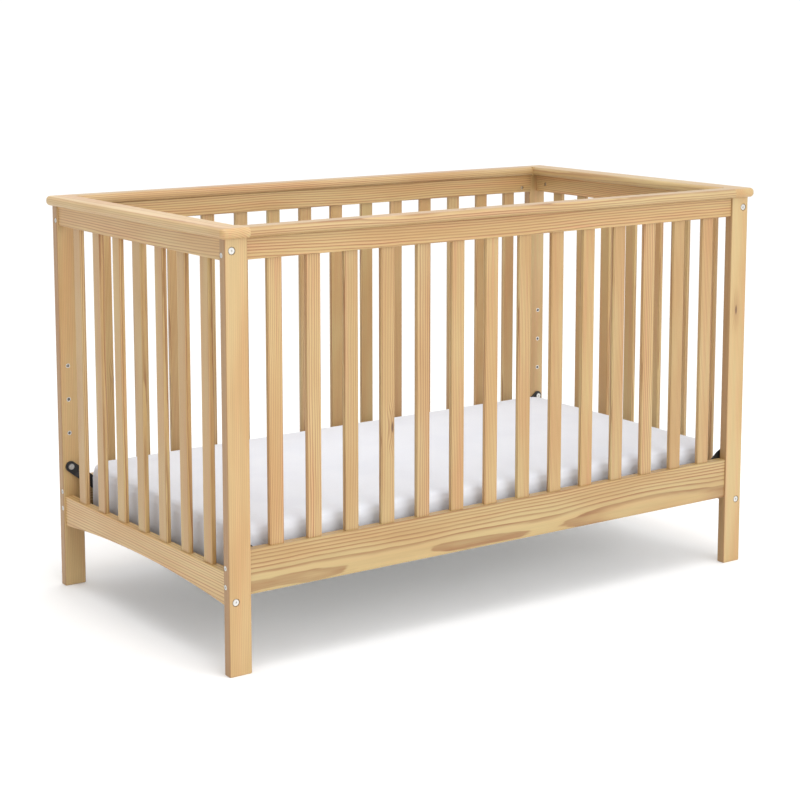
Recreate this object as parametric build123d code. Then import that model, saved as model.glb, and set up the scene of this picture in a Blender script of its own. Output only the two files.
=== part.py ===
from build123d import *
import math
import os

# Full-size wooden baby crib with a four-height steel spring support and a mattress.
# Millimetres. X runs along the long sides, Y from front (-) to back (+), Z up.
# The origin is on the floor at the middle of the crib.
# A corner is named by two signs: side_x is -1 left or +1 right, side_y is -1 front or +1 back.

# ---- Overall sizes: the outer faces of the posts, and the floor to the underside of the caps
crib_length = 1380.0
crib_depth = 750.0
post_height = 857.0

# ---- Posts: flat planks, wide face to the front and back
post_width = 50.0
post_thickness = 22.0
post_edge_radius = 3.0
foot_chamfer = 1.5

# ---- Rails: all are cut from one board thickness and sit back from the faces of the posts
rail_thickness = 22.0
rail_setback = 4.0
rail_edge_radius = 2.0
top_rail_depth = 43.0
side_bottom_rail_bottom = 158.0
side_bottom_rail_depth = 89.0
end_bottom_rail_bottom = 138.5
end_bottom_rail_depth = 67.0
arch_rise = 18.5

# ---- Slats: let into mortises in the rails
slat_width = 33.0
slat_thickness = 11.5
slat_edge_radius = 3.2
side_slat_count = 14
side_end_gap = 48.9
end_slat_count = 7
end_end_gap = 60.0
mortise_depth = 12.0
mortise_clearance = 0.1
mortise_end_gap = 0.5

# ---- Caps: the end caps cover the posts, the side caps butt between them
cap_thickness = 21.0
cap_overhang = 12.0
cap_edge_radius = 9.0
cap_corner_radius = 12.0

# ---- Bolts: M6 shanks with barrel nuts buried in the rails
bolt_radius = 3.0
bolt_hole_radius = 3.3
bolt_thread_clearance = 0.05
end_bolt_length = 60.0
end_bolt_head_radius = 6.5
end_bolt_head_height = 3.5
end_bolt_counterbore_radius = 8.0
end_bolt_counterbore_depth = 4.2
end_bolt_low_rise = 10.5
side_bolt_length = 80.0
side_bolt_head_radius = 5.0
side_bolt_head_height = 6.0
side_bolt_counterbore_radius = 5.8
side_bolt_counterbore_depth = 6.5
side_bolt_top_rise = 11.0
side_bolt_low_rise = 20.0
side_bolt_pitch = 38.0
side_bolt_wood = 1.0
top_bolt_separation = 9.0
hex_key_across_flats = 4.0
hex_key_depth = 2.2
barrel_nut_radius = 4.9
barrel_nut_length = 16.0
barrel_nut_hole_radius = 5.0
barrel_nut_skin = 2.5
barrel_nut_end_gap = 0.5
barrel_nut_from_tip = 8.5
bolt_tip_room = 3.0

# ---- Dowels: beech pins that line the joints up
dowel_radius = 4.0
dowel_hole_radius = 4.05
dowel_length = 29.0
dowel_hole_in_post = 12.0
dowel_hole_in_rail = 18.0
top_dowel_drop = 9.0
low_dowel_drop = 20.0
cap_dowel_length = 27.0
cap_dowel_hole_in_cap = 13.0
cap_dowel_hole_below = 15.0
cap_dowel_from_post_side = 28.0
side_cap_dowel_spacing = 420.0
end_cap_dowel_spacing = 270.0

# ---- Threaded inserts: four mattress heights on the inner face of each post
height_count = 4
lowest_height = 273.0
height_pitch = 76.0
insert_from_post_side = 18.0
insert_radius = 5.0
insert_length = 13.0
insert_hole_clearance = 0.05
insert_thread_radius = 3.05
insert_thread_depth = 12.5

# ---- Mattress support: an angle-steel frame hung from the inserts by four flat arms
arm_width = 24.0
arm_thickness = 3.0
arm_slope = 39.0
arm_joggle_start = 20.0
arm_joggle_end = 33.0
arm_hole_radius = 3.4
arm_rail_clearance = 0.7
hanger_bolt_length = 14.0
hanger_bolt_head_radius = 6.5
hanger_bolt_head_height = 3.6
angle_leg = 25.0
angle_steel = 2.0
frame_bottom = 157.5
frame_end_clearance = 1.0
rivet_radius = 3.0
rivet_head_radius = 5.0
rivet_head_height = 1.5
rivet_spacing = 24.0
rivet_height = 14.0

# ---- Spring deck: a welded wire grid stretched inside the frame by coil springs
border_wire_radius = 2.5
grid_wire_radius = 1.75
wire_weld_depth = 0.6
spring_reach = 30.0
long_wire_count = 9
cross_wire_count = 17
side_spring_count = 11
end_spring_count = 5
spring_radius = 4.5
spring_wire_radius = 1.0
spring_bare_end = 6.0
spring_hole_radius = 2.0
spring_hole_inset = 6.0

# ---- Mattress: one closed block, soft edges
mattress_thickness = 120.0
mattress_corner_radius = 55.0
mattress_edge_radius = 18.0
mattress_side_clearance = 2.5
mattress_end_clearance = 5.0
mattress_bottom_clearance = 0.8

# ---- Planes that the pieces share
half_length = crib_length / 2
half_depth = crib_depth / 2
post_inner_x = half_length - post_width
post_inner_y = half_depth - post_thickness
side_rail_y = half_depth - rail_setback - rail_thickness / 2
end_rail_x = half_length - rail_setback - rail_thickness / 2
side_rail_inner_y = side_rail_y - rail_thickness / 2
end_rail_inner_x = end_rail_x - rail_thickness / 2
side_rail_length = 2 * post_inner_x
end_rail_length = 2 * post_inner_y
top_rail_bottom = post_height - top_rail_depth
side_bottom_rail_top = side_bottom_rail_bottom + side_bottom_rail_depth
end_bottom_rail_top = end_bottom_rail_bottom + end_bottom_rail_depth
side_slat_pitch = (side_rail_length - 2 * side_end_gap - slat_width) / (side_slat_count - 1)
end_slat_pitch = (end_rail_length - 2 * end_end_gap - slat_width) / (end_slat_count - 1)
post_middle_y = half_depth - post_thickness / 2

# A barrel nut is pushed in from the inner face and leaves a skin of wood outside it
barrel_nut_hole_depth = rail_thickness - barrel_nut_skin

# The bolts of a long panel run down the middle of the rail, but never break out of the post
side_joint_y = max(side_rail_y, post_inner_y + side_bolt_counterbore_radius + side_bolt_wood)
side_nut_outer_y = min(side_joint_y + barrel_nut_length / 2,
                       side_rail_inner_y + barrel_nut_hole_depth - barrel_nut_end_gap)

# Heights of the bolts and dowels in each joint
side_top_bolt_height = top_rail_bottom + side_bolt_top_rise
end_top_bolt_height = side_top_bolt_height + top_bolt_separation
top_dowel_height = post_height - top_dowel_drop
side_low_bolt_heights = [side_bottom_rail_bottom + side_bolt_low_rise,
                         side_bottom_rail_bottom + side_bolt_low_rise + side_bolt_pitch]
end_low_bolt_height = end_bottom_rail_bottom + end_bolt_low_rise
end_low_dowel_height = end_bottom_rail_top - low_dowel_drop

# Where the bolt heads seat and the barrel nuts lie, measured from the middle of the crib
end_bolt_seat_y = half_depth - end_bolt_counterbore_depth
end_bolt_tip_y = end_bolt_seat_y - end_bolt_length
end_barrel_y = end_bolt_tip_y + barrel_nut_from_tip
side_bolt_seat_x = half_length - side_bolt_counterbore_depth
side_bolt_tip_x = side_bolt_seat_x - side_bolt_length
side_barrel_x = side_bolt_tip_x + barrel_nut_from_tip

# Mattress support planes
insert_x = half_length - insert_from_post_side
insert_heights = [lowest_height + height_pitch * step for step in range(height_count)]
arm_outer_y = side_rail_inner_y - arm_rail_clearance
frame_outer_y = arm_outer_y - arm_thickness
frame_outer_x = end_rail_inner_x - frame_end_clearance
frame_inner_y = frame_outer_y - angle_leg
frame_inner_x = frame_outer_x - angle_leg
end_angle_bottom = frame_bottom + angle_steel
deck_height = end_angle_bottom + angle_steel + spring_wire_radius
deck_half_y = frame_inner_y - spring_reach
deck_half_x = frame_inner_x - spring_reach
cross_wire_height = deck_height + 2 * grid_wire_radius - wire_weld_depth
mattress_bottom = cross_wire_height + grid_wire_radius + mattress_bottom_clearance
mattress_half_y = frame_outer_y - angle_steel - mattress_side_clearance
mattress_half_x = frame_outer_x - angle_steel - mattress_end_clearance

sides = (-1, 1)
os.makedirs("parts", exist_ok=True)


def save(shape, name):
    """Write one node to its own STEP file."""
    export_step(shape, f"parts/{name}.step")


def group(solids):
    """Keep separate pieces together as one node."""
    return Compound(children=list(solids))


def plank(size_x, size_y, size_z, centre, long_axis, edge_radius):
    """A sawn board with its four long edges rounded over."""
    board = Box(size_x, size_y, size_z)
    board = fillet(board.edges().filter_by(long_axis), edge_radius)
    return Pos(*centre) * board


def rod(start, direction, radius, length):
    """A round bar, or a drill, that starts at a point and runs along a direction."""
    bar = Cylinder(radius, length, align=(Align.CENTER, Align.CENTER, Align.MIN))
    return Plane(origin=start, z_dir=direction) * bar


def spread(count, pitch):
    """Positions of a row of pieces, centred on zero."""
    return [(index - (count - 1) / 2) * pitch for index in range(count)]


side_slat_xs = spread(side_slat_count, side_slat_pitch)
end_slat_ys = spread(end_slat_count, end_slat_pitch)


# ---- Posts

def end_joint_drills(side_x, side_y):
    """Holes through a post for the bolts and dowels of the end panel, along Y."""
    x = side_x * end_rail_x
    inward = (0, -side_y, 0)
    drills = []
    for z in (end_top_bolt_height, end_low_bolt_height):
        face = (x, side_y * half_depth, z)
        drills.append(rod(face, inward, bolt_hole_radius, post_thickness))
        drills.append(rod(face, inward, end_bolt_counterbore_radius, end_bolt_counterbore_depth))
    for z in (top_dowel_height, end_low_dowel_height):
        inner = (x, side_y * post_inner_y, z)
        drills.append(rod(inner, (0, side_y, 0), dowel_hole_radius, dowel_hole_in_post))
    return drills


def side_joint_drills(side_x, side_y):
    """Holes through a post for the bolts and dowel of the long panel, along X."""
    y = side_y * side_joint_y
    inward = (-side_x, 0, 0)
    drills = []
    for z in [side_top_bolt_height] + side_low_bolt_heights:
        face = (side_x * half_length, y, z)
        drills.append(rod(face, inward, bolt_hole_radius, post_width))
        drills.append(rod(face, inward, side_bolt_counterbore_radius, side_bolt_counterbore_depth))
    inner = (side_x * post_inner_x, y, top_dowel_height)
    drills.append(rod(inner, (side_x, 0, 0), dowel_hole_radius, dowel_hole_in_post))
    return drills


def insert_drills(side_x, side_y):
    """Blind holes for the threaded inserts, from the inner face of a post."""
    radius = insert_radius + insert_hole_clearance
    x = side_x * insert_x
    y = side_y * post_inner_y
    return [rod((x, y, z), (0, side_y, 0), radius, insert_length) for z in insert_heights]


def cap_dowel_place(side_x, side_y):
    """Where the pin between a post and its end cap stands."""
    x = side_x * (half_length - cap_dowel_from_post_side)
    return (x, side_y * post_middle_y, post_height)


def make_post(side_x, side_y):
    centre = (side_x * (half_length - post_width / 2), side_y * post_middle_y, post_height / 2)
    post = plank(post_width, post_thickness, post_height, centre, Axis.Z, post_edge_radius)
    post = chamfer(post.faces().sort_by(Axis.Z)[0].edges(), foot_chamfer)
    for drill in end_joint_drills(side_x, side_y) + side_joint_drills(side_x, side_y):
        post -= drill
    for drill in insert_drills(side_x, side_y):
        post -= drill
    post -= rod(cap_dowel_place(side_x, side_y), (0, 0, -1), dowel_hole_radius, cap_dowel_hole_below)
    return post


side_x_names = {-1: "left", 1: "right"}
side_y_names = {-1: "front", 1: "back"}
for side_x in sides:
    for side_y in sides:
        save(make_post(side_x, side_y), f"{side_y_names[side_y]}_{side_x_names[side_x]}_post")


# ---- Slats and the mortises that hold them

def slat(size_x, size_y, x, y, low, high):
    """One slat with its ends let into the rails below and above it."""
    low = low - mortise_depth + mortise_end_gap
    high = high + mortise_depth - mortise_end_gap
    return plank(size_x, size_y, high - low, (x, y, (low + high) / 2), Axis.Z, slat_edge_radius)


def mortise(size_x, size_y, x, y, mouth, direction):
    """A pocket of a slat's section, cut from its mouth up or down into a rail."""
    section = RectangleRounded(size_x + 2 * mortise_clearance, size_y + 2 * mortise_clearance,
                               slat_edge_radius + mortise_clearance)
    return Pos(x, y, mouth) * extrude(section, direction * mortise_depth)


# ---- Long panels, front and back

def side_rail_joint_drills(heights, side_y):
    """Bolt and barrel-nut holes in both ends of a long rail."""
    y = side_y * side_joint_y
    drills = []
    for side_x in sides:
        for z in heights:
            end = (side_x * post_inner_x, y, z)
            depth = post_inner_x - side_bolt_tip_x + bolt_tip_room
            drills.append(rod(end, (-side_x, 0, 0), bolt_hole_radius, depth))
            inner = (side_x * side_barrel_x, side_y * side_rail_inner_y, z)
            drills.append(rod(inner, (0, side_y, 0), barrel_nut_hole_radius, barrel_nut_hole_depth))
    return drills


def make_side_top_rail(side_y):
    y = side_y * side_rail_y
    centre = (0, y, top_rail_bottom + top_rail_depth / 2)
    rail = plank(side_rail_length, rail_thickness, top_rail_depth, centre, Axis.X, rail_edge_radius)
    for x in side_slat_xs:
        rail -= mortise(slat_width, slat_thickness, x, y, top_rail_bottom, 1)
    for drill in side_rail_joint_drills([side_top_bolt_height], side_y):
        rail -= drill
    for side_x in sides:
        end = (side_x * post_inner_x, side_y * side_joint_y, top_dowel_height)
        rail -= rod(end, (-side_x, 0, 0), dowel_hole_radius, dowel_hole_in_rail)
    for x in spread(3, side_cap_dowel_spacing):
        rail -= rod((x, y, post_height), (0, 0, -1), dowel_hole_radius, cap_dowel_hole_below)
    return rail


def make_side_bottom_rail(side_y):
    y = side_y * side_rail_y
    centre = (0, y, side_bottom_rail_bottom + side_bottom_rail_depth / 2)
    rail = plank(side_rail_length, rail_thickness, side_bottom_rail_depth, centre, Axis.X,
                 rail_edge_radius)
    for x in side_slat_xs:
        rail -= mortise(slat_width, slat_thickness, x, y, side_bottom_rail_top, -1)
    for drill in side_rail_joint_drills(side_low_bolt_heights, side_y):
        rail -= drill
    return rail


def side_slats(side_y):
    y = side_y * side_rail_y
    return [slat(slat_width, slat_thickness, x, y, side_bottom_rail_top, top_rail_bottom)
            for x in side_slat_xs]


for side_y in sides:
    save(make_side_top_rail(side_y), f"{side_y_names[side_y]}_top_rail")
    save(make_side_bottom_rail(side_y), f"{side_y_names[side_y]}_bottom_rail")
for number, piece in enumerate(side_slats(-1), start=1):
    save(piece, f"front_slat_{number:02d}")
save(group(side_slats(1)), "back_slats")


# ---- End panels, left and right

def end_rail_joint_drills(bolt_height, dowel_height, side_x):
    """Bolt, barrel-nut and dowel holes in both ends of an end rail."""
    x = side_x * end_rail_x
    drills = []
    for side_y in sides:
        inward = (0, -side_y, 0)
        depth = post_inner_y - end_bolt_tip_y + bolt_tip_room
        drills.append(rod((x, side_y * post_inner_y, bolt_height), inward, bolt_hole_radius, depth))
        inner = (side_x * end_rail_inner_x, side_y * end_barrel_y, bolt_height)
        drills.append(rod(inner, (side_x, 0, 0), barrel_nut_hole_radius, barrel_nut_hole_depth))
        end = (x, side_y * post_inner_y, dowel_height)
        drills.append(rod(end, inward, dowel_hole_radius, dowel_hole_in_rail))
    return drills


def make_end_top_rail(side_x):
    x = side_x * end_rail_x
    centre = (x, 0, top_rail_bottom + top_rail_depth / 2)
    rail = plank(rail_thickness, end_rail_length, top_rail_depth, centre, Axis.Y, rail_edge_radius)
    for y in end_slat_ys:
        rail -= mortise(slat_thickness, slat_width, x, y, top_rail_bottom, 1)
    for drill in end_rail_joint_drills(end_top_bolt_height, top_dowel_height, side_x):
        rail -= drill
    for y in spread(2, end_cap_dowel_spacing):
        rail -= rod((x, y, post_height), (0, 0, -1), dowel_hole_radius, cap_dowel_hole_below)
    return rail


def make_end_bottom_rail(side_x):
    """The rail whose lower edge rises in a shallow arch between the posts."""
    x = side_x * end_rail_x
    centre = (x, 0, end_bottom_rail_bottom + end_bottom_rail_depth / 2)
    rail = plank(rail_thickness, end_rail_length, end_bottom_rail_depth, centre, Axis.Y,
                 rail_edge_radius)
    half = end_rail_length / 2
    arch_radius = (half * half + arch_rise * arch_rise) / (2 * arch_rise)
    arch_axis = Pos(x, 0, end_bottom_rail_bottom + arch_rise - arch_radius) * Rot(0, 90, 0)
    rail -= arch_axis * Cylinder(arch_radius, 2 * rail_thickness)
    arch_edges = [edge for edge in rail.edges()
                  if edge.geom_type == GeomType.CIRCLE and edge.length > half]
    rail = fillet(arch_edges, rail_edge_radius * 0.9)
    for y in end_slat_ys:
        rail -= mortise(slat_thickness, slat_width, x, y, end_bottom_rail_top, -1)
    for drill in end_rail_joint_drills(end_low_bolt_height, end_low_dowel_height, side_x):
        rail -= drill
    return rail


def end_slats(side_x):
    x = side_x * end_rail_x
    return [slat(slat_thickness, slat_width, x, y, end_bottom_rail_top, top_rail_bottom)
            for y in end_slat_ys]


for side_x in sides:
    save(make_end_top_rail(side_x), f"{side_x_names[side_x]}_end_top_rail")
    save(make_end_bottom_rail(side_x), f"{side_x_names[side_x]}_end_bottom_rail")
for number, piece in enumerate(reversed(end_slats(-1)), start=1):
    save(piece, f"left_end_slat_{number}")
save(group(end_slats(1)), "right_end_slats")


# ---- Caps

cap_middle = post_height + cap_thickness / 2
side_cap_width = post_thickness + 2 * cap_overhang
side_cap_inner_y = half_depth + cap_overhang - side_cap_width
end_cap_width = post_width + cap_overhang


def make_side_cap(side_y):
    centre = (0, side_y * (side_cap_inner_y + side_cap_width / 2), cap_middle)
    cap = plank(side_rail_length, side_cap_width, cap_thickness, centre, Axis.X, cap_edge_radius)
    for x in spread(3, side_cap_dowel_spacing):
        place = (x, side_y * side_rail_y, post_height)
        cap -= rod(place, (0, 0, 1), dowel_hole_radius, cap_dowel_hole_in_cap)
    return cap


def make_end_cap(side_x):
    """Rounded on its three outer sides, and on the inner side between the side caps."""
    outer_x = side_x * (half_length + cap_overhang)
    centre_x = outer_x - side_x * end_cap_width / 2
    cap = Pos(centre_x, 0, cap_middle) * Box(end_cap_width, crib_depth + 2 * cap_overhang,
                                             cap_thickness)
    corners = cap.edges().filter_by(Axis.Z).filter_by(lambda edge: edge.center().X * side_x > half_length)
    cap = fillet(corners, cap_corner_radius)
    rims = [edge for edge in cap.edges()
            if abs(edge.center().Z - cap_middle) > cap_thickness * 0.4
            and edge.center().X * side_x > post_inner_x + 1]
    cap = fillet(rims, cap_edge_radius)
    opening = 2 * side_cap_inner_y
    for up in sides:
        corner = Pos(side_x * post_inner_x, 0, cap_middle + up * cap_thickness / 2)
        axis = Pos(side_x * (post_inner_x + cap_edge_radius), 0,
                   cap_middle + up * (cap_thickness / 2 - cap_edge_radius))
        waste = corner * Box(2 * cap_edge_radius, opening, 2 * cap_edge_radius)
        waste -= axis * Rot(90, 0, 0) * Cylinder(cap_edge_radius, opening)
        keep = Pos(side_x * (post_inner_x + cap_edge_radius / 2), 0,
                   cap_middle + up * (cap_thickness / 2 - cap_edge_radius / 2))
        cap -= waste & (keep * Box(cap_edge_radius, opening, cap_edge_radius))
    for side_y in sides:
        cap -= rod(cap_dowel_place(side_x, side_y), (0, 0, 1), dowel_hole_radius, cap_dowel_hole_in_cap)
    for y in spread(2, end_cap_dowel_spacing):
        place = (side_x * end_rail_x, y, post_height)
        cap -= rod(place, (0, 0, 1), dowel_hole_radius, cap_dowel_hole_in_cap)
    return cap


for side_y in sides:
    save(make_side_cap(side_y), f"{side_y_names[side_y]}_cap")
for side_x in sides:
    save(make_end_cap(side_x), f"{side_x_names[side_x]}_end_cap")


# ---- Bolts, barrel nuts and dowels

def socket_bolt(seat, inward, head_radius, head_height, length):
    """A round-headed bolt with a hex socket; its head seats at a point and its shank runs inward."""
    outward = tuple(-value for value in inward)
    bolt = rod(seat, inward, bolt_radius, length) + rod(seat, outward, head_radius, head_height)
    top = tuple(start + step * head_height for start, step in zip(seat, outward))
    socket = extrude(RegularPolygon(hex_key_across_flats / 2, 6, major_radius=False), hex_key_depth)
    return bolt - Plane(origin=top, z_dir=inward) * socket


def barrel_nut(start, direction, bolt_axis, crossing):
    """A steel pin across the rail, with a threaded hole where the bolt crosses it."""
    nut = rod(start, direction, barrel_nut_radius, barrel_nut_length)
    drill_start = [value - step * barrel_nut_length / 2 for value, step in zip(crossing, bolt_axis)]
    return nut - rod(drill_start, bolt_axis, bolt_radius + bolt_thread_clearance, barrel_nut_length)


end_bolts = []
end_dowels = []
side_bolts = []
side_dowels = []
cap_dowels = []
barrel_nuts = []
for side_x in sides:
    for side_y in sides:
        along_y = (0, -side_y, 0)
        for z in (end_top_bolt_height, end_low_bolt_height):
            seat = (side_x * end_rail_x, side_y * end_bolt_seat_y, z)
            end_bolts.append(socket_bolt(seat, along_y, end_bolt_head_radius,
                                         end_bolt_head_height, end_bolt_length))
            crossing = (side_x * end_rail_x, side_y * end_barrel_y, z)
            nut_start = (side_x * (end_rail_x - barrel_nut_length / 2), side_y * end_barrel_y, z)
            barrel_nuts.append(barrel_nut(nut_start, (side_x, 0, 0), (0, 1, 0), crossing))
        for z in (top_dowel_height, end_low_dowel_height):
            tip = (side_x * end_rail_x, side_y * (post_inner_y + dowel_hole_in_post), z)
            end_dowels.append(rod(tip, along_y, dowel_radius, dowel_length))
        along_x = (-side_x, 0, 0)
        for z in [side_top_bolt_height] + side_low_bolt_heights:
            seat = (side_x * side_bolt_seat_x, side_y * side_joint_y, z)
            side_bolts.append(socket_bolt(seat, along_x, side_bolt_head_radius,
                                          side_bolt_head_height, side_bolt_length))
            crossing = (side_x * side_barrel_x, side_y * side_joint_y, z)
            nut_start = (side_x * side_barrel_x, side_y * (side_nut_outer_y - barrel_nut_length), z)
            barrel_nuts.append(barrel_nut(nut_start, (0, side_y, 0), (1, 0, 0), crossing))
        tip = (side_x * (post_inner_x + dowel_hole_in_post), side_y * side_joint_y, top_dowel_height)
        side_dowels.append(rod(tip, along_x, dowel_radius, dowel_length))
        x, y, z = cap_dowel_place(side_x, side_y)
        cap_dowels.append(rod((x, y, z + cap_dowel_hole_in_cap), (0, 0, -1), dowel_radius,
                              cap_dowel_length))
cap_dowel_top = post_height + cap_dowel_hole_in_cap
for side_y in sides:
    for x in spread(3, side_cap_dowel_spacing):
        cap_dowels.append(rod((x, side_y * side_rail_y, cap_dowel_top), (0, 0, -1), dowel_radius,
                              cap_dowel_length))
for side_x in sides:
    for y in spread(2, end_cap_dowel_spacing):
        cap_dowels.append(rod((side_x * end_rail_x, y, cap_dowel_top), (0, 0, -1), dowel_radius,
                              cap_dowel_length))
save(group(end_bolts), "end_panel_bolts")
save(group(side_bolts), "side_panel_bolts")
save(group(barrel_nuts), "barrel_nuts")
save(group(end_dowels + side_dowels), "rail_dowels")
save(group(cap_dowels), "cap_dowels")


# ---- Height-setting inserts, hanger arms and their bolts

def make_insert(side_x, side_y, z):
    start = (side_x * insert_x, side_y * post_inner_y, z)
    outward = (0, side_y, 0)
    insert = rod(start, outward, insert_radius, insert_length)
    return insert - rod(start, outward, insert_thread_radius, insert_thread_depth)


slope = math.radians(arm_slope)
arm_length = (lowest_height - frame_bottom) / math.sin(slope) + arm_width


def rivet_places(side_x):
    """The two rivets between a hanger arm and its side angle, along X."""
    foot = insert_x - (lowest_height - frame_bottom - rivet_height) / math.tan(slope)
    return [(side_x * (foot - shift), frame_bottom + rivet_height) for shift in spread(2, rivet_spacing)]


def make_hanger_arm(side_x, side_y):
    """A flat strip, bolted to the post, joggled inward past the rail and cut level at its foot."""
    post_face = post_inner_y
    steps = [(-arm_width / 2, post_face), (arm_joggle_start, post_face),
             (arm_joggle_end, arm_outer_y), (arm_length, arm_outer_y),
             (arm_length, arm_outer_y - arm_thickness),
             (arm_joggle_end, arm_outer_y - arm_thickness),
             (arm_joggle_start, post_face - arm_thickness),
             (-arm_width / 2, post_face - arm_thickness)]
    edge_view = make_face(Polyline(*steps, close=True))
    strip = extrude(edge_view, arm_width / 2, both=True)
    blank = Pos(0, post_face) * extrude(Plane.XZ * Circle(arm_width / 2), post_thickness, both=True)
    straight = Pos(arm_length / 2, post_face) * Box(arm_length, 2 * post_thickness, arm_width)
    strip &= blank + straight
    strip -= rod((0, post_face, 0), (0, -1, 0), arm_hole_radius, arm_thickness)
    strip = Pos(-insert_x, 0, lowest_height) * Rot(0, arm_slope, 0) * strip
    foot = frame_bottom + angle_steel
    strip -= Box(crib_length, crib_depth, 2 * foot)
    for x, z in rivet_places(-1):
        strip -= rod((x, arm_outer_y, z), (0, -1, 0), rivet_radius, arm_thickness)
    if side_x > 0:
        strip = mirror(strip, Plane.YZ)
    if side_y < 0:
        strip = mirror(strip, Plane.XZ)
    return strip


def make_hanger_bolt(side_x, side_y):
    seat = (side_x * insert_x, side_y * (post_inner_y - arm_thickness), lowest_height)
    return socket_bolt(seat, (0, side_y, 0), hanger_bolt_head_radius, hanger_bolt_head_height,
                       hanger_bolt_length)


corners = [(side_x, side_y) for side_x in sides for side_y in sides]
save(group(make_insert(side_x, side_y, z) for side_x, side_y in corners for z in insert_heights),
     "threaded_inserts")
save(group(make_hanger_bolt(side_x, side_y) for side_x, side_y in corners), "hanger_bolts")
for side_x, side_y in corners:
    save(make_hanger_arm(side_x, side_y), f"{side_y_names[side_y]}_{side_x_names[side_x]}_hanger_arm")


# ---- Spring frame: side angles carry the arms, end angles lap over them

side_spring_xs = spread(side_spring_count, 2 * deck_half_x / side_spring_count)
end_spring_ys = spread(end_spring_count, 2 * deck_half_y / end_spring_count)


def make_side_angle(side_y):
    upright = Pos(0, side_y * (frame_outer_y - angle_steel / 2), frame_bottom + angle_leg / 2) * \
        Box(2 * frame_outer_x, angle_steel, angle_leg)
    flat = Pos(0, side_y * (frame_outer_y - angle_leg / 2), frame_bottom + angle_steel / 2) * \
        Box(2 * frame_outer_x, angle_leg, angle_steel)
    angle = upright + flat
    for side_x in sides:
        for x, z in rivet_places(side_x):
            angle -= rod((x, side_y * frame_outer_y, z), (0, -side_y, 0), rivet_radius, angle_steel)
    y = side_y * (frame_inner_y + spring_hole_inset)
    for x in side_spring_xs:
        angle -= rod((x, y, frame_bottom), (0, 0, 1), spring_hole_radius, angle_steel)
    return angle


def make_end_angle(side_x):
    length = 2 * (frame_outer_y - angle_steel)
    height = angle_leg - angle_steel
    upright = Pos(side_x * (frame_outer_x - angle_steel / 2), 0, end_angle_bottom + height / 2) * \
        Box(angle_steel, length, height)
    flat = Pos(side_x * (frame_outer_x - angle_leg / 2), 0, end_angle_bottom + angle_steel / 2) * \
        Box(angle_leg, length, angle_steel)
    angle = upright + flat
    x = side_x * (frame_inner_x + spring_hole_inset)
    for y in end_spring_ys:
        angle -= rod((x, y, end_angle_bottom), (0, 0, 1), spring_hole_radius, angle_steel)
    return angle


def make_rivet(side_x, side_y, x, z):
    outer_y = side_y * (frame_outer_y + arm_thickness)
    inner_y = side_y * (frame_outer_y - angle_steel)
    shank = rod((x, outer_y, z), (0, -side_y, 0), rivet_radius, arm_thickness + angle_steel)
    return shank + rod((x, inner_y, z), (0, -side_y, 0), rivet_head_radius, rivet_head_height)


for side_y in sides:
    save(make_side_angle(side_y), f"{side_y_names[side_y]}_frame_angle")
for side_x in sides:
    save(make_end_angle(side_x), f"{side_x_names[side_x]}_frame_angle")


# ---- Spring deck

def make_wire_grid():
    """Border wire with long wires welded level with it and cross wires welded on top."""
    wires = []
    for side_y in sides:
        start = (-deck_half_x, side_y * deck_half_y, deck_height)
        wires.append(rod(start, (1, 0, 0), border_wire_radius, 2 * deck_half_x))
    for side_x in sides:
        start = (side_x * deck_half_x, -deck_half_y, deck_height)
        wires.append(rod(start, (0, 1, 0), border_wire_radius, 2 * deck_half_y))
        for side_y in sides:
            knuckle = Pos(side_x * deck_half_x, side_y * deck_half_y, deck_height)
            wires.append(knuckle * Sphere(border_wire_radius))
    long_pitch = 2 * deck_half_y / (long_wire_count + 1)
    for y in spread(long_wire_count, long_pitch):
        wires.append(rod((-deck_half_x, y, deck_height), (1, 0, 0), grid_wire_radius, 2 * deck_half_x))
    cross_pitch = 2 * deck_half_x / (cross_wire_count + 1)
    for x in spread(cross_wire_count, cross_pitch):
        wires.append(rod((x, -deck_half_y, cross_wire_height), (0, 1, 0), grid_wire_radius,
                         2 * deck_half_y))
    return wires[0].fuse(*wires[1:])


def make_spring(start, direction, flange_bottom):
    """The outer shape of a coil spring hooked down through a hole in the flange."""
    hook = spring_reach - border_wire_radius + spring_hole_inset
    hook -= spring_hole_radius - spring_wire_radius
    coil = spring_reach - border_wire_radius - 2 * spring_bare_end
    coil_start = [value + step * spring_bare_end for value, step in zip(start, direction)]
    corner = [value + step * hook for value, step in zip(start, direction)]
    drop = deck_height - flange_bottom + spring_wire_radius
    spring = rod(start, direction, spring_wire_radius, hook)
    spring += rod(coil_start, direction, spring_radius, coil)
    spring += Pos(*corner) * Sphere(spring_wire_radius)
    return spring + rod(corner, (0, 0, -1), spring_wire_radius, drop)


def springs():
    pieces = []
    for side_y in sides:
        y = side_y * (deck_half_y + border_wire_radius)
        for x in side_spring_xs:
            pieces.append(make_spring((x, y, deck_height), (0, side_y, 0), frame_bottom))
    for side_x in sides:
        x = side_x * (deck_half_x + border_wire_radius)
        for y in end_spring_ys:
            pieces.append(make_spring((x, y, deck_height), (side_x, 0, 0), end_angle_bottom))
    return pieces


save(group(make_rivet(side_x, side_y, x, z) for side_x, side_y in corners
           for x, z in rivet_places(side_x)), "hanger_rivets")
save(make_wire_grid(), "spring_deck_wires")
save(group(springs()), "coil_springs")


# ---- Mattress

def make_mattress():
    block = Box(2 * mattress_half_x, 2 * mattress_half_y, mattress_thickness)
    block = fillet(block.edges().filter_by(Axis.Z), mattress_corner_radius)
    rims = block.faces().sort_by(Axis.Z)[0].edges() + block.faces().sort_by(Axis.Z)[-1].edges()
    block = fillet(rims, mattress_edge_radius)
    return Pos(0, 0, mattress_bottom + mattress_thickness / 2) * block


save(make_mattress(), "mattress")
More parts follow.
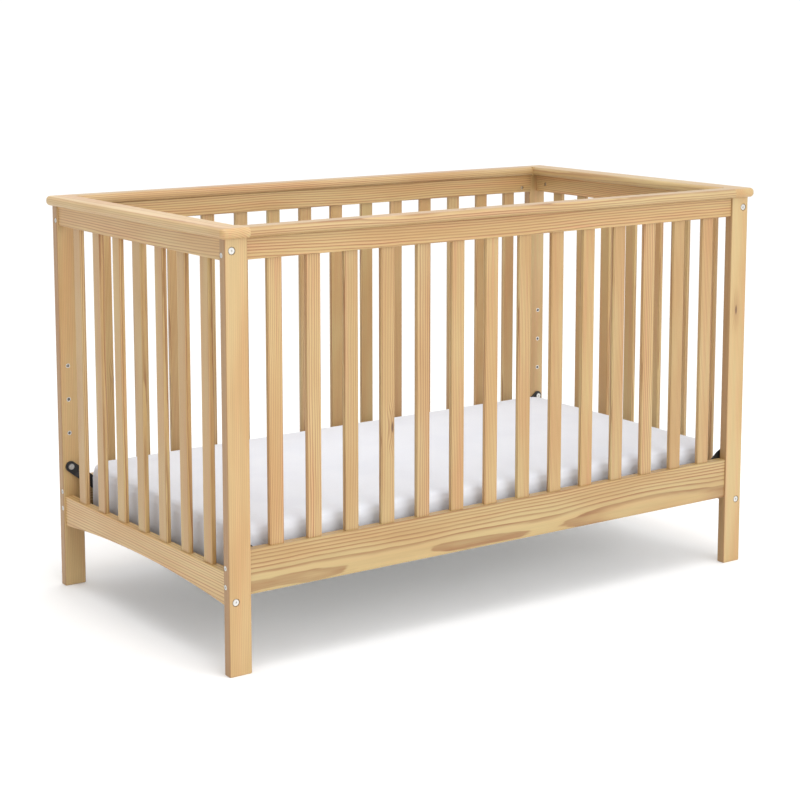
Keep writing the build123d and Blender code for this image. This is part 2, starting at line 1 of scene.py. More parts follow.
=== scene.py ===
# %% [markdown]
# # A slatted pine crib
# The crib's shapes come from a CAD model, and that model stays as it is here. This script gives
# each piece its wood, metal or cloth, and makes the pieces that CAD keeps plain: the
# mattress, its fitted sheet and the coil springs under it. It also lights the crib and sets the
# camera.

# %% Load the crib
import bmesh
import bpy
import math
from mathutils import Matrix, Vector, noise


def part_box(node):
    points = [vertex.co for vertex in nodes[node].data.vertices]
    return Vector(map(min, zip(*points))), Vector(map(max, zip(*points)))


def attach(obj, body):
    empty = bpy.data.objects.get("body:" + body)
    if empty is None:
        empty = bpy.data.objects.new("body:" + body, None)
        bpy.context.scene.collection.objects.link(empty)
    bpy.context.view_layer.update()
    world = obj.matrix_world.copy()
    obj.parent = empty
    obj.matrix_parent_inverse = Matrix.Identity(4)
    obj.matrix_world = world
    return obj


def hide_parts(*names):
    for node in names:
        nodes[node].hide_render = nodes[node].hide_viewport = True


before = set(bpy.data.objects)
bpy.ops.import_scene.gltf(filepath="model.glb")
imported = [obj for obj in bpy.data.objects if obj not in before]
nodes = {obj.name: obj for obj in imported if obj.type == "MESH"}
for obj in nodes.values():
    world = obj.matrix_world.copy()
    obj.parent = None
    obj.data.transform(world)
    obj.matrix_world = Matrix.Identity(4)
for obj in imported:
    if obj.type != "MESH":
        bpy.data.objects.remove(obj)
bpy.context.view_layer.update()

# %% [markdown]
# ## Camera
# A long lens from the front left corner, a little above the caps. A lens that is tilted down makes
# upright posts lean together, so part of the tilt is swapped for lens shift, as on a view camera.

# %% Set the camera
camera_data = bpy.data.cameras.new("camera")
camera_data.lens = 85.82
camera_data.sensor_width = 36
camera_data.shift_y = -0.15
camera = bpy.data.objects.new("camera", camera_data)
camera.location = (-2.4747, -3.4579, 1.2939)
camera.rotation_euler = (math.radians(90 - 8.24), 0, math.radians(-35.36))
bpy.context.collection.objects.link(camera)
bpy.context.scene.camera = camera
bpy.context.scene.view_settings.view_transform = "Standard"
print("camera looks", [round(v, 2) for v in camera.rotation_euler])

# %% [markdown]
# ## Shader maths
# A material is a graph of small nodes. Written out one by one, even simple sums are long, so a
# socket is wrapped in a class whose operators add Math nodes. Then a mask reads as a formula.

# %% Wrap a socket so that sums can be written plainly
class Number:
    """A number that changes over a surface. Its operators add Math nodes to the same material."""

    def __init__(self, finish, socket):
        self.finish = finish
        self.socket = socket

    def math(self, operation, *others):
        inputs = dict(enumerate((self, *others)))
        return self.finish.node("ShaderNodeMath", {"operation": operation}, inputs)

    def __add__(self, other):
        return self.math("ADD", other)

    def __sub__(self, other):
        return self.math("SUBTRACT", other)

    def __rsub__(self, other):
        return self.finish.node("ShaderNodeMath", {"operation": "SUBTRACT"}, {0: other, 1: self})

    def __mul__(self, other):
        return self.math("MULTIPLY", other)

    def __truediv__(self, other):
        return self.math("DIVIDE", other)

    __radd__ = __add__
    __rmul__ = __mul__


class Graph:
    """The nodes of one material, or of the world."""

    def __init__(self, owner):
        owner.use_nodes = True
        self.tree = owner.node_tree

    def plug(self, socket, value):
        """Link a socket to another, or type a value into it."""
        if isinstance(value, Number):
            self.tree.links.new(value.socket, socket)
        else:
            socket.default_value = value

    def node(self, kind, settings, inputs, output=0):
        """Add any node: its settings first, then the values or links of its sockets."""
        node = self.tree.nodes.new(kind)
        for name, value in settings.items():
            setattr(node, name, value)
        for name, value in inputs.items():
            self.plug(node.inputs[name], value)
        return Number(self, node.outputs[output])

    def split(self, vector):
        """The three parts of a vector as numbers."""
        node = self.tree.nodes.new("ShaderNodeSeparateXYZ")
        self.tree.links.new(vector.socket, node.inputs[0])
        return [Number(self, output) for output in node.outputs]

    def join(self, x, y, z):
        return self.node("ShaderNodeCombineXYZ", {}, {0: x, 1: y, 2: z})

    def noise(self, vector, scale, detail=2.0, roughness=0.5, output=0):
        inputs = {"Vector": vector, "Scale": scale, "Detail": detail, "Roughness": roughness}
        return self.node("ShaderNodeTexNoise", {}, inputs, output)

    def ramp(self, number, low, high, start=0.0, end=1.0):
        """Slide smoothly from start to end while the number goes from low to high."""
        settings = {"interpolation_type": "SMOOTHSTEP"}
        return self.node("ShaderNodeMapRange", settings,
                         {0: number, 1: low, 2: high, 3: start, 4: end})

    def blend(self, factor, first, second, mode="MIX"):
        """Mix two colours."""
        node = self.tree.nodes.new("ShaderNodeMix")
        node.data_type = "RGBA"
        node.blend_type = mode
        self.plug(node.inputs[0], factor)
        self.plug(node.inputs[6], first)
        self.plug(node.inputs[7], second)
        return Number(self, node.outputs[2])


class Finish(Graph):
    """One material and the shader that it ends in."""

    def __init__(self, name):
        self.material = bpy.data.materials.new(name)
        super().__init__(self.material)
        self.shader = self.tree.nodes["Principled BSDF"]
        self.place = self.node("ShaderNodeTexCoord", {}, {}, "Object")

    def finish_with(self, colour, roughness, height=None, depth=0.001, **constants):
        """Feed the shader. Constants are typed straight into its own sockets."""
        self.plug(self.shader.inputs["Base Color"], colour)
        self.plug(self.shader.inputs["Roughness"], roughness)
        if height is not None:
            inputs = {"Height": height, "Distance": depth, "Strength": 1.0}
            bump = self.node("ShaderNodeBump", {}, inputs)
            self.plug(self.shader.inputs["Normal"], bump)
        for name, value in constants.items():
            self.shader.inputs[name.replace("_", " ")].default_value = value
        return self.material


print("shader maths ready")


# %% [markdown]
# ## Pine
# Sawn pine shows the tree's growth rings. Each year leaves a wide pale band and a narrow brown
# line. A board cut near the bark shows long arches, and one cut through the heart straight lines.
# A picture of wood would repeat and stretch, so the rings are worked out in three dimensions:
# a slowly bending heart runs beside the board, the distance from it gives the ring, and
# the sawn faces cut through those rings as a real saw does.

# %% Name the colours of pine
def colour(red, green, blue):
    """An sRGB colour, from 0 to 255, as the linear values that a shader reads."""
    def linear(value):
        value /= 255
        return value / 12.92 if value <= 0.04045 else ((value + 0.055) / 1.055) ** 2.4
    return (linear(red), linear(green), linear(blue), 1)


pale_wood = colour(186, 161, 112)
warm_wood = colour(178, 143, 93)
rose_wood = colour(181, 136, 98)
ring_wood = colour(136, 92, 52)
knot_wood = colour(88, 54, 30)
print("pine runs from", [round(part, 2) for part in ring_wood[:3]], "in a ring's dark line to",
      [round(part, 2) for part in pale_wood[:3]])


# %% Find each slat's own place
def on_its_slat(x, y, row):
    """The slat's number, and a place across its width and through its thickness.

    Upright slats stand in a row along one axis, in two panels that face each other. So one material
    can serve them all: the place along the row says which slat it is."""
    number, off = (x, y) if row["axis"] == "X" else (y, x)
    slat = ((number - row["start"]) / row["step"]).math("FLOOR")
    across = number - (slat + 0.5) * row["step"] - row["start"]
    depth = off.math("ABSOLUTE") - row["panel"]
    return slat + off.math("GREATER_THAN", 0.0) * 40, across, depth


print("a row of slats can share one pine")

# %% Place the knots
def knots_in(finish, drift, across, luck, seed, rarity):
    """Two masks: the wood that a knot disturbs, and the knot itself. Most cells have no knot."""
    field = finish.join(drift * 2.3, across * 9 + luck * 5, seed)
    settings = {"voronoi_dimensions": "2D", "feature": "F1"}
    inputs = {"Vector": field, "Scale": 1.0, "Randomness": 0.9}
    distance = finish.node("ShaderNodeTexVoronoi", settings, inputs, "Distance")
    dice = finish.node("ShaderNodeTexVoronoi", settings, inputs, "Color")
    chance = finish.split(dice)[0].math("GREATER_THAN", rarity)
    near = finish.ramp(distance, 0.02, 0.16, 1.0, 0.0) * chance
    knot = finish.ramp(distance, 0.012, 0.035, 1.0, 0.0) * chance
    return near, knot


print("knots are the cells of a Voronoi pattern")

# %% Make pine that runs along one axis
def pine(name, along, seed, ring_width, heart, wander, contrast, tone=0.0, knots=0.93, centre=None,
         row=None, sawn_edge=None):
    """Pine whose grain runs along an axis.

    heart is how far the tree's heart lies to the side of the board and behind it, and wander how
    far it bends. centre is the middle of a single board; row describes a row of slats instead."""
    finish = Finish(name)
    place = finish.place
    if centre is not None:
        place = finish.node("ShaderNodeMapping", {}, {"Vector": place, "Location": -centre})
    x, y, z = finish.split(place)
    length, across, depth = {"X": (x, y, z), "Y": (y, x, z), "Z": (z, x, y)}[along]
    board = seed
    if row:
        slat, across, depth = on_its_slat(x, y, row)
        board = slat + seed
    dice = finish.node("ShaderNodeTexWhiteNoise", {"noise_dimensions": "1D"}, {"W": board}, "Color")
    luck_a, luck_b, luck_c = finish.split(dice)
    drift = length + (luck_a + luck_b) * 7 + seed

    # The heart of the tree bends a little along the board
    slow = finish.noise(finish.join(drift * 1.6, luck_c * 9, seed), 1.0, 1.5, 0.5, "Color")
    bend_a, bend_b, _ = finish.split(slow)
    left_or_right = luck_a.math("GREATER_THAN", 0.5) * 2 - 1
    side = across + left_or_right * heart[0] * (0.25 + luck_c) + (bend_a - 0.5) * wander * 4
    back = depth + heart[1] * (0.6 + luck_b) + (bend_b - 0.5) * wander * 2
    ripple = finish.noise(finish.join(drift * 5, across * 30, depth * 30), 1.0, 3.0, 0.55)
    radius = (side * side + back * back).math("SQRT") + (ripple - 0.5) * 0.004

    # Knots push the rings aside
    near, knot = knots_in(finish, drift, across, luck_c, seed, knots)
    radius = radius + near * 0.006
    ring = (radius / ring_width + luck_c * 3).math("FRACT")
    line = finish.ramp(ring, 0.36, 0.90) * finish.ramp(ring, 0.92, 1.0, 1.0, 0.0)

    # Fibres, streaks and patches are noises stretched along the grain
    fibre = finish.noise(finish.join(drift * 9, across * 700, depth * 700), 1.0, 2.0, 0.6)
    streak = finish.noise(finish.join(drift * 2.5, across * 110, depth * 110), 1.0, 3.0, 0.6)
    patch = finish.noise(finish.join(drift * 3, across * 14, depth * 14), 1.0, 2.0, 0.5)

    wood = finish.blend(finish.ramp(patch, 0.3, 0.7), pale_wood, warm_wood)
    rosy = finish.ramp(streak, 0.45, 0.75) * (0.25 + luck_b * 0.5)
    wood = finish.blend(rosy, wood, rose_wood)
    strength = finish.ramp(streak, 0.25, 0.75, contrast * 0.45, contrast)
    wood = finish.blend(line * strength, wood, ring_wood)
    wood = finish.blend(near * 0.35, wood, ring_wood)
    wood = finish.blend(knot * 0.9, wood, knot_wood)
    shade = 0.78 + tone + fibre * 0.16 + streak * 0.30 + (luck_b - 0.5) * 0.08
    tint = finish.join(shade + (luck_a - 0.5) * 0.05, shade, shade - (luck_c - 0.5) * 0.09)
    wood = finish.blend(1.0, wood, tint, "MULTIPLY")
    # Painted shade: near the given distance out from the middle, the rounded edges and the sides
    # beyond them are darkened toward the ring colour, as if turned away from the light.
    if sawn_edge:
        edge = finish.ramp(across.math("ABSOLUTE"), sawn_edge - 0.0022, sawn_edge - 0.0004)
        wood = finish.blend(edge * 0.6, wood, ring_wood)

    gloss = 0.36 + fibre * 0.12 + line * 0.05
    height = fibre * 0.5 + line * 0.35
    return finish.finish_with(wood, gloss, height, 0.00012, Coat_Weight=0.18, Coat_Roughness=0.3)


print("pine is a formula of ring width, heart and bend")

# %% [markdown]
# ## Which board is which
# Every post, rail and cap is its own board, so each gets its own seed and its own heart. The slats
# of one kind share a material that works out the slat's number from its place, and so gives each
# slat its own rings. That is two materials for the slats in place of forty-two.

# %% Give every wooden piece its board
def dress(node, material):
    """Put a material on a piece that came from the CAD model."""
    for slot in nodes[node].material_slots:
        slot.material = material


def middle(node):
    low, high = (Vector(corner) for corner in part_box(node))
    return (low + high) / 2


def saw(node, along, seed, **look):
    """Give one board its own pine. The heart is measured from the board's own middle."""
    dress(node, pine("pine_" + node, along, seed, centre=middle(node), **look))


# The posts' sides that face the crib's ends, 25 mm out from their middles, get painted shade.
posts = [name for name in nodes if name.endswith("_post")]
for number, name in enumerate(sorted(posts)):
    saw(name, "Z", 3.1 + number * 1.7, ring_width=0.0042, heart=(0.12, 0.03), wander=0.003,
        contrast=0.3, tone=0.06, sawn_edge=0.025)

long_boards = ["front_bottom_rail", "front_top_rail", "back_bottom_rail", "back_top_rail",
               "front_cap", "back_cap"]
for number, name in enumerate(long_boards):
    saw(name, "X", 11.3 + number * 2.3, ring_width=0.0042, heart=(0.07, 0.045), wander=0.007,
        contrast=1.0, tone=-0.03)

end_boards = [name for name in nodes if "_end_" in name and name.endswith(("_rail", "_cap"))]
for number, name in enumerate(sorted(end_boards)):
    cap = name.endswith("_cap")
    saw(name, "Y", 31.9 + number * 2.9, ring_width=0.0042, heart=(0.07, 0.07), wander=0.006,
        contrast=0.6 if cap else 0.9, tone=0.08 if cap else 0.20)
print(len(posts) + len(long_boards) + len(end_boards), "posts, rails and caps")

# %% Give every slat its board
front_slats = sorted(name for name in nodes if name.startswith("front_slat_"))
slat_step = middle(front_slats[1]).x - middle(front_slats[0]).x
long_row = {"axis": "X", "start": middle(front_slats[0]).x - slat_step / 2, "step": slat_step,
            "panel": abs(middle(front_slats[0]).y)}
long_slat_pine = pine("pine_long_slats", "Z", 5.7, ring_width=0.0034, heart=(0.09, 0.03),
                      wander=0.0035, contrast=1.0, knots=0.95, row=long_row)
for name in front_slats + ["back_slats"]:
    dress(name, long_slat_pine)

end_slats = sorted(name for name in nodes if name.startswith("left_end_slat_"))
end_step = abs(middle(end_slats[1]).y - middle(end_slats[0]).y)
end_row = {"axis": "Y", "start": min(middle(name).y for name in end_slats) - end_step / 2,
           "step": end_step, "panel": abs(middle(end_slats[0]).x)}
end_slat_pine = pine("pine_end_slats", "Z", 8.3, ring_width=0.0034, heart=(0.09, 0.03),
                     wander=0.0035, contrast=1.0, tone=0.08, knots=0.97, row=end_row)
for name in end_slats + ["right_end_slats"]:
    dress(name, end_slat_pine)
print("slats stand", round(slat_step, 4), "m apart along the sides and", round(end_step, 4),
      "m apart at the ends")

# %% [markdown]
# ## Metal and dowels
# The bolts are zinc plated: bright, with a fine grain and small cloudy patches. The arms and the
# frame are powder coated, which looks like a very fine orange peel. The wires are plain drawn
# steel, and the dowels bare beech with short flecks. Each is a base colour and a few noises.

# %% Make the metals
def zinc():
    finish = Finish("zinc_plate")
    cloud = finish.noise(finish.place, 180.0, 3.0)
    grain = finish.noise(finish.place, 1400.0, 2.0)
    plate = finish.blend(cloud, colour(196, 196, 194), colour(224, 222, 216))
    return finish.finish_with(plate, 0.24 + cloud * 0.2, grain, 0.00004, Metallic=1.0)


def powder_coat():
    finish = Finish("black_powder_coat")
    peel = finish.noise(finish.place, 900.0, 2.0)
    dust = finish.noise(finish.place, 35.0, 3.0)
    coat = finish.blend(finish.ramp(dust, 0.45, 0.8), colour(26, 26, 28), colour(44, 44, 46))
    return finish.finish_with(coat, 0.42 + peel * 0.14, peel, 0.00006)


def drawn_wire():
    finish = Finish("drawn_steel_wire")
    cloud = finish.noise(finish.place, 60.0, 3.0)
    draw = finish.noise(finish.place, 700.0, 2.0)
    steel = finish.blend(cloud, colour(138, 138, 140), colour(176, 175, 172))
    return finish.finish_with(steel, 0.3 + draw * 0.2, draw, 0.00003, Metallic=1.0)


def beech():
    finish = Finish("beech_dowel")
    fleck = finish.noise(finish.place, 420.0, 3.0, 0.7)
    wood = finish.blend(fleck, colour(205, 168, 128), colour(178, 136, 96))
    return finish.finish_with(wood, 0.6 + fleck * 0.1, fleck, 0.00008)


print("four more finishes ready")

# %% Dress the metal pieces and the dowels
zinc_plate = zinc()
black_coat = powder_coat()
wire_steel = drawn_wire()
beech_wood = beech()
for name in ("end_panel_bolts", "side_panel_bolts", "barrel_nuts", "threaded_inserts",
             "hanger_bolts", "hanger_rivets"):
    dress(name, zinc_plate)
for name in nodes:
    if name.endswith(("_hanger_arm", "_frame_angle")):
        dress(name, black_coat)
dress("spring_deck_wires", wire_steel)
dress("rail_dowels", beech_wood)
dress("cap_dowels", beech_wood)
print("bolts, arms, frame, wires and dowels dressed")

# %% [markdown]
# ## Coil springs
# The wire deck hangs in the steel frame on small tension springs. Each is one wire: an eye round
# the border wire, a few turns, and an end hooked down through a hole in the frame. A bmesh spin
# makes both the eye and the turns, because a spin that also moves along its axis is a helix.
# One spring is bent and then copied to its 32 places. The CAD model holds only its outer shape.

# %% Bend one spring
class BentWire:
    """A wire that grows from one end by straight runs and bends."""

    def __init__(self, thickness, start, facing, sides=6):
        self.shape = bmesh.new()
        turn = Vector((0, 0, 1)).rotation_difference(Vector(facing)).to_matrix().to_4x4()
        ring = bmesh.ops.create_circle(self.shape, segments=sides, radius=thickness / 2,
                                       matrix=Matrix.Translation(start) @ turn)
        self.ring = list({edge for vert in ring["verts"] for edge in vert.link_edges})
        self.close_end()

    def close_end(self):
        bmesh.ops.contextual_create(self.shape, geom=self.ring)

    def run(self, step):
        grown = bmesh.ops.extrude_edge_only(self.shape, edges=self.ring)["geom"]
        verts = [item for item in grown if isinstance(item, bmesh.types.BMVert)]
        bmesh.ops.translate(self.shape, verts=verts, vec=step)
        self.ring = [item for item in grown if isinstance(item, bmesh.types.BMEdge)
                     and all(vert in verts for vert in item.verts)]

    def bend(self, centre, axis, degrees, steps, climb=(0, 0, 0)):
        """Turn round an axis. climb is how far each step moves along it."""
        grown = bmesh.ops.spin(self.shape, geom=self.ring, cent=centre, axis=axis, dvec=climb,
                               angle=math.radians(degrees), steps=steps)["geom_last"]
        self.ring = [item for item in grown if isinstance(item, bmesh.types.BMEdge)]

    def finish(self, name):
        self.close_end()
        bmesh.ops.recalc_face_normals(self.shape, faces=self.shape.faces)
        mesh = bpy.data.meshes.new(name)
        self.shape.to_mesh(mesh)
        self.shape.free()
        return mesh


def bend_spring(name, flange_drop):
    """One spring from the border wire, whose middle is at the origin, out along +Y and down."""
    wire_size, coil, bend = 0.002, 0.0035, 0.0012  # thickness, and the radius of a turn and a bend
    coil_from, coil_to, hook = 0.0085, 0.0240, 0.0353  # how far out each stretch begins
    turns, steps_a_turn, eye_steps, bend_steps = 6, 12, 10, 4
    side = -0.0018
    bent = BentWire(wire_size, (side, 0, -coil), (0, 1, 0))
    bent.bend((side, 0, 0), (1, 0, 0), -180, eye_steps)
    bent.run((0, coil_from - bend, 0))
    bent.bend((side + bend, coil_from - bend, coil), (0, 0, 1), -90, bend_steps)
    pitch = (coil_to - coil_from) / turns
    bent.bend((side + bend, 0, 0), (0, 1, 0), 360 * turns, steps_a_turn * turns,
              (0, pitch / steps_a_turn, 0))
    bent.bend((side + bend, coil_to + bend, coil), (0, 0, 1), 90, bend_steps)
    bent.run((0, hook - coil_to - 2 * bend, 0))
    bent.bend((0, hook - bend, coil - bend), (1, 0, 0), -90, bend_steps)
    bent.run((0, 0, bend - coil - flange_drop))
    return bent.finish(name)


side_spring = bend_spring("side_spring", 0.006)
end_spring = bend_spring("end_spring", 0.004)
print("one spring has", len(side_spring.polygons), "faces")


# %% Copy it round the deck
def evenly(count, pitch):
    return [(number - (count - 1) / 2) * pitch for number in range(count)]


deck_low, deck_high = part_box("spring_deck_wires")
border_wire = 0.005
side_count, end_count = 11, 5
reach_x = deck_high.x - border_wire / 2
reach_y = deck_high.y - border_wire / 2
deck_level = deck_low.z + border_wire / 2
places = []
for x in evenly(side_count, 2 * reach_x / side_count):
    places += [(side_spring, (x, reach_y), 0), (side_spring, (x, -reach_y), 180)]
for y in evenly(end_count, 2 * reach_y / end_count):
    places += [(end_spring, (reach_x, y), -90), (end_spring, (-reach_x, y), 90)]
spring_shape = bmesh.new()
for mesh, (x, y), turn in places:
    copy = mesh.copy()
    facing = Matrix.Rotation(math.radians(turn), 4, "Z")
    copy.transform(Matrix.Translation((x, y, deck_level)) @ facing)
    spring_shape.from_mesh(copy)
    bpy.data.meshes.remove(copy)


def make_piece(name, shape, material, smooth=True):
    """Turn a bmesh into a finished object."""
    mesh = bpy.data.meshes.new(name)
    shape.to_mesh(mesh)
    shape.free()
    mesh.materials.append(material)
    for face in mesh.polygons:
        face.use_smooth = smooth
    piece = bpy.data.objects.new(name, mesh)
    bpy.context.collection.objects.link(piece)
    return piece


springs = make_piece("coil_spring_set", spring_shape, wire_steel)
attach(springs, "crib_frame")
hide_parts("coil_springs")
print(len(places), "springs with", len(springs.data.polygons), "faces")

# %% [markdown]
# ## Mattress
# A crib mattress is a slab of foam in a sewn cover. It is nearly flat, because a baby must not sink
# in, but its edges are soft. So a slightly small block is remeshed and blown up as cloth with air
# pressure. Cloth alone would rise far more than foam does, so no point may move further than
# 4.5 mm. That lifts the top, rounds its edges and draws the sides in by about as much. The seams
# come after that, because remeshing would erase them.

# %% Start with a small slab
mattress_low, mattress_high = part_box("mattress")
seat = 0.0016  # under the slab, for the hem
cover_room = 0.0012  # beside the slab, for the sheet
most_swell = 0.0045
corner_radius, rim_radius = 0.052, 0.017
shrink = most_swell + cover_room
slab_low = mattress_low + Vector((shrink, shrink, seat))
slab_high = mattress_high - Vector((shrink, shrink, most_swell))
shape = bmesh.new()
bmesh.ops.create_cube(shape, size=1.0)
bmesh.ops.scale(shape, verts=shape.verts, vec=slab_high - slab_low)
bmesh.ops.translate(shape, verts=shape.verts, vec=(slab_high + slab_low) / 2)
uprights = [edge for edge in shape.edges if abs(edge.verts[0].co.z - edge.verts[1].co.z) > 0.01]
bmesh.ops.bevel(shape, geom=uprights, offset=corner_radius, segments=8, profile=0.5,
                affect="EDGES", material=-1)
rims = [edge for edge in shape.edges
        if edge.is_manifold and abs(edge.verts[0].co.z - edge.verts[1].co.z) < 1e-6
        and abs(edge.calc_face_angle(0)) > 1.2]
bmesh.ops.bevel(shape, geom=rims, offset=rim_radius, segments=5, profile=0.5, affect="EDGES",
                material=-1)
ticking = Finish("mattress_ticking")
slab = make_piece("mattress_core", shape, ticking.material)
print("slab starts at", [round(v, 3) for v in slab_high - slab_low])


# %% Blow it up
def apply_modifiers(piece):
    """Make what the modifiers show the piece's own mesh."""
    shown = piece.evaluated_get(bpy.context.evaluated_depsgraph_get())
    finished = bpy.data.meshes.new_from_object(shown)
    piece.modifiers.clear()
    piece.data = finished


def remesh(piece, voxel):
    """Replace a mesh by an even grid of faces."""
    grid = piece.modifiers.new("even_grid", "REMESH")
    grid.mode = "VOXEL"
    grid.voxel_size = voxel
    apply_modifiers(piece)


def blow_up(piece, pressure, most, held_below):
    """Swell a closed piece like a cushion. Points below a height stay, and none moves past most."""
    start = [vert.co.copy() for vert in piece.data.vertices]
    held = piece.vertex_groups.new(name="held")
    held.add([number for number, co in enumerate(start) if co.z < held_below], 1.0, "REPLACE")
    cloth = piece.modifiers.new("air", "CLOTH")
    cloth.settings.use_pressure = True
    cloth.settings.uniform_pressure_force = pressure
    cloth.settings.vertex_group_mass = "held"
    cloth.settings.effector_weights.gravity = 0
    cloth.settings.quality = 4
    for number in range(1, swell_frames + 1):
        bpy.context.scene.frame_set(number)
    blown = piece.evaluated_get(bpy.context.evaluated_depsgraph_get()).data
    moved = [blown.vertices[number].co - co for number, co in enumerate(start)]
    piece.modifiers.clear()
    piece.vertex_groups.clear()
    for vert, co, move in zip(piece.data.vertices, start, moved):
        vert.co = co + move * min(1, most / max(move.length, 1e-9))
    bpy.context.scene.frame_set(1)
    return max(move.length for move in moved)


voxel = 0.0115
swell_frames = 20
air_pressure = 4.0
held_height = 0.003
remesh(slab, voxel)
free_move = blow_up(slab, air_pressure, most_swell, slab_low.z + held_height)
print("free cloth would move", round(free_move, 4), "m, and here at most", most_swell)
print("slab has", len(slab.data.polygons), "faces")


# %% [markdown]
# The cover is a plain woven ticking with a taped seam round each face. The seam is a groove where
# the thread pulls the edge in. It is pressed into the mesh, and the weave is in the material. A
# weave can't use a flat unwrapped map here, because remeshing leaves none, so threads are waves
# along each axis, and each face of the slab shows the two that run across it. Last, the top rises
# by 2 mm toward its middle, as a filled cover does.

# %% Weave the cover
seam_inset = 0.014
sewn_at = [slab_low.z + seam_inset, slab_high.z - seam_inset]


def weave(finish, thread):
    """How high the crossing threads of a plain weave stand, from 0 to 1."""
    facing = finish.node("ShaderNodeNewGeometry", {}, {}, "Normal")
    waves, shares = [], []
    for place, normal in zip(finish.split(finish.place), finish.split(facing)):
        waves.append((place * (2 * math.pi / thread)).math("SINE") * 0.5 + 0.5)
        shares.append(normal * normal)
    x, y, z = waves
    return shares[2] * x * y + shares[1] * x * z + shares[0] * y * z


def ticking_finish(finish):
    threads = weave(finish, 0.0009)
    slub = finish.noise(finish.place, 120.0, 3.0)
    height = finish.split(finish.place)[2]
    tape = 0.0
    for level in sewn_at:
        tape = tape + finish.ramp((height - level).math("ABSOLUTE"), 0.004, 0.005, 1.0, 0.0)
    cloth = finish.blend(slub, colour(222, 222, 220), colour(236, 236, 234))
    cloth = finish.blend(tape * 0.8, cloth, colour(206, 206, 206))
    return finish.finish_with(cloth, 0.82 + slub * 0.1, threads + slub * 0.6, 0.00012,
                              Sheen_Weight=0.25, Sheen_Roughness=0.5)


ticking_finish(ticking)
print("taped seams stand at", [round(level, 3) for level in sewn_at])


# %% Sew the seams
def soften(piece):
    """Halve the size of the faces and round them."""
    rounding = piece.modifiers.new("rounding", "SUBSURF")
    rounding.levels = rounding.render_levels = 1
    apply_modifiers(piece)


soften(slab)
crown = 0.0022
groove_depth, groove_width = 0.0014, 0.0035
shape = bmesh.new()
shape.from_mesh(slab.data)
for vert in shape.verts:
    if vert.co.z > slab_low.z + 0.05:
        rise = (1 - (vert.co.x / slab_high.x) ** 4) * (1 - (vert.co.y / slab_high.y) ** 4)
        vert.co.z += crown * max(0.0, rise)
    for level in sewn_at:
        near = math.exp(-((vert.co.z - level) / groove_width) ** 2)
        vert.co -= Vector((vert.normal.x, vert.normal.y, 0)) * groove_depth * near
shape.to_mesh(slab.data)
shape.free()
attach(slab, "mattress")
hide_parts("mattress")
print("the mattress is", [round(v, 4) for v in slab.dimensions])

# %% [markdown]
# ## Fitted sheet
# A fitted sheet is a flat cut of cotton with its four corners taken out and sewn shut, so that it
# makes a shallow box, and elastic round its edge pulls it under the mattress. It is made here
# from the mattress's own skin, moved out by the thickness of the cloth: the top and sides stay, and
# of the underside only a strip. The elastic gathers the cloth, most of all at the corners.

# %% Cut the sheet from the slab's skin
tuck = 0.05
cloth_gap = 0.0003
gather_height, slack_height = 0.0011, 0.0003


def smoothstep(low, high, value):
    share = min(1.0, max(0.0, (value - low) / (high - low)))
    return share * share * (3 - 2 * share)


def inside_by(point):
    """How far a point lies inside the outline of the slab, seen from above."""
    return min(slab_high.x + 0.004 - abs(point.x), slab_high.y + 0.004 - abs(point.y))


def corner_share(point):
    """1 at a corner of the slab and 0 a hand's length from it."""
    gap = math.hypot(abs(point.x) - slab_high.x, abs(point.y) - slab_high.y)
    return 1 - smoothstep(0.03, 0.16, gap)


shape = bmesh.new()
shape.from_mesh(slab.data)
under = [face for face in shape.faces if face.normal.z < -0.9
         and inside_by(face.calc_center_median()) > tuck]
bmesh.ops.delete(shape, geom=under, context="FACES")
shape.normal_update()
for vert in shape.verts:
    place = vert.co.copy()
    low = 1 - smoothstep(slab_low.z, slab_low.z + 0.09, place.z)
    gathered = low * (0.15 + 0.85 * corner_share(place))
    ruffle = noise.noise(Vector((place.x * 34, place.y * 34, place.z * 4 + 3)))
    slack = noise.noise(Vector((place.x * 2.2, place.y * 5, place.z * 6 + 11)))
    lift = cloth_gap + gather_height * gathered * (0.5 + ruffle) + slack_height * (0.5 + slack)
    vert.co += vert.normal * max(cloth_gap, lift)
cotton = Finish("white_cotton")
sheet = make_piece("fitted_sheet", shape, cotton.material)
area = sum(face.area for face in sheet.data.polygons)
print("the sheet has", len(sheet.data.polygons), "faces and", round(area, 3), "square metres")

# %% Roll the elastic hem
hem_size = 0.0017
shape = bmesh.new()
shape.from_mesh(sheet.data)
rim = {edge for edge in shape.edges if edge.is_boundary}
rim_verts = {vert for edge in rim for vert in edge.verts}
print("the hem is", round(sum(edge.calc_length() for edge in rim), 3), "m round")
inner_verts = [vert for vert in shape.verts if vert not in rim_verts]
bmesh.ops.delete(shape, geom=inner_verts, context="VERTS")
bmesh.ops.delete(shape, geom=[edge for edge in shape.edges if edge not in rim], context="EDGES")
bmesh.ops.delete(shape, geom=shape.faces[:], context="FACES_ONLY")
for vert in shape.verts:
    vert.co.z = max(vert.co.z, mattress_low.z + hem_size / 2)
hem = make_piece("elastic_hem", shape, cotton.material)
bpy.ops.object.select_all(action="DESELECT")
bpy.context.view_layer.objects.active = hem
hem.select_set(True)
bpy.ops.object.convert(target="CURVE")
hem.data.bevel_depth = hem_size / 2
hem.data.bevel_resolution = 1
bpy.ops.object.convert(target="MESH")
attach(hem, "mattress")
print("the hem has", len(hem.data.polygons), "faces")

# %% Give the sheet its thickness and weave
cloth_thickness = 0.0006
thicken = sheet.modifiers.new("cloth", "SOLIDIFY")
thicken.thickness = cloth_thickness
thicken.offset = 1.0


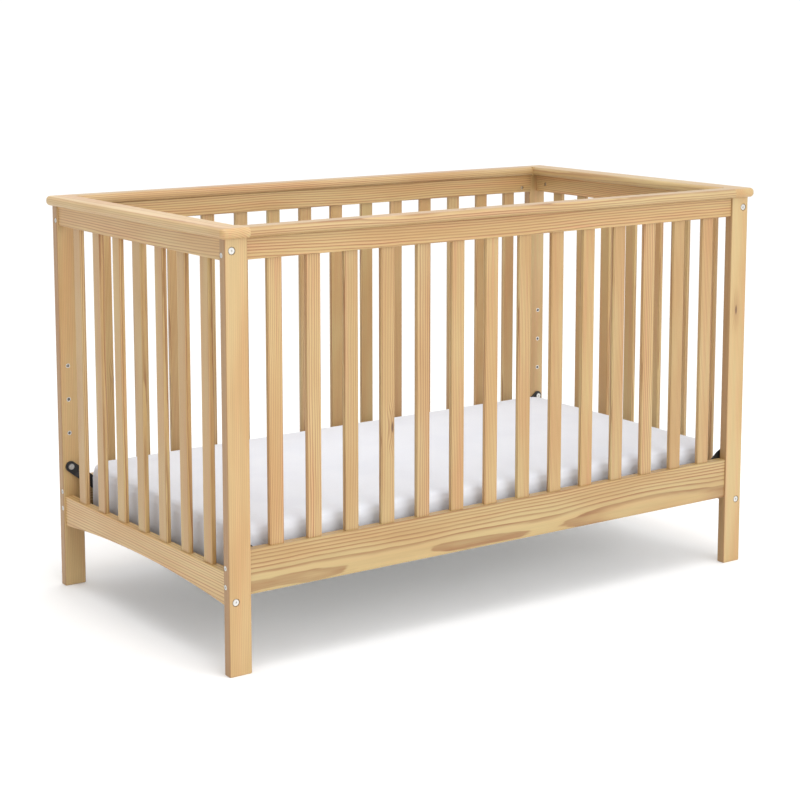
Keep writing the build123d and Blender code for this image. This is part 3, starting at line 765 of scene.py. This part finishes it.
def cotton_finish(finish):
    threads = weave(finish, 0.0007)
    slub = finish.noise(finish.place, 260.0, 3.0)
    wash = finish.noise(finish.place, 9.0, 2.0)
    cloth = finish.blend(slub, colour(216, 220, 228), colour(223, 226, 234))
    cloth = finish.blend(finish.ramp(wash, 0.35, 0.75, 0.0, 0.5), cloth, colour(212, 216, 226))
    return finish.finish_with(cloth, 0.8 + slub * 0.12, threads + slub * 0.5, 0.00008,
                              Sheen_Weight=0.2, Sheen_Roughness=0.4)


cotton_finish(cotton)
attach(sheet, "mattress")
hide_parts("mattress")

# %% [markdown]
# ## Floor and light
# The crib stands on a white studio floor that runs out of sight. The air round it is white too, but
# dimmer high on the left, and two big soft lamps hang above it and in front. So the front
# faces are lightest, the left end is duller, and the floor keeps a soft shadow under the rails.

# %% Lay the floor
floor_mesh = bpy.data.meshes.new("studio_floor")
shape = bmesh.new()
bmesh.ops.create_grid(shape, x_segments=1, y_segments=1, size=500)
shape.to_mesh(floor_mesh)
shape.free()
floor = bpy.data.objects.new("studio_floor", floor_mesh)
bpy.context.collection.objects.link(floor)
floor_finish = Finish("white_floor")
dapple = floor_finish.noise(floor_finish.place, 0.6, 1.0)
floor_white = floor_finish.blend(dapple, (0.965, 0.965, 0.967, 1), (0.97, 0.97, 0.97, 1))
floor_mesh.materials.append(floor_finish.finish_with(floor_white, 0.75, Specular_IOR_Level=0.1))
print("floor laid")

# %% Light the room
# Strongest from the front and above, dimmest from the upper left, and white along the horizon.
world = bpy.data.worlds.new("studio_air")
air = Graph(world)
toward = air.node("ShaderNodeTexCoord", {}, {}, "Generated")
right, back, up = air.split(toward)
overhead = air.ramp(up, 0.16, 0.32)
from_left = 1 - overhead * air.ramp(right, -0.9, 0.1, 0.6, 0.0)
from_front = air.ramp(back, -1.0, 0.0, 1.5, 1.0)
from_above = air.ramp(up, 0.1, 0.9, 1.0, 1.15)
strength = from_left * from_front * from_above * 1.05
air.plug(air.tree.nodes["Background"].inputs["Strength"], strength)
air.tree.nodes["Background"].inputs["Color"].default_value = (1.0, 1.0, 1.0, 1)
bpy.context.scene.world = world


def lamp(name, place, aim, size, power):
    """A soft rectangular lamp that points at a spot."""
    data = bpy.data.lights.new(name, "AREA")
    data.shape = "RECTANGLE"
    data.size, data.size_y = size
    data.energy = power
    holder = bpy.data.objects.new(name, data)
    holder.location = place
    holder.rotation_euler = (Vector(aim) - Vector(place)).to_track_quat("-Z", "Y").to_euler()
    bpy.context.collection.objects.link(holder)


lamp("high_lamp", (-0.8, -0.8, 3.6), (0.1, 0.1, 0.3), (2.6, 2.0), 50)
lamp("front_lamp", (0.6, -4.5, 2.2), (0, 0, 0.5), (3.0, 2.0), 36)
print("lamps hung")
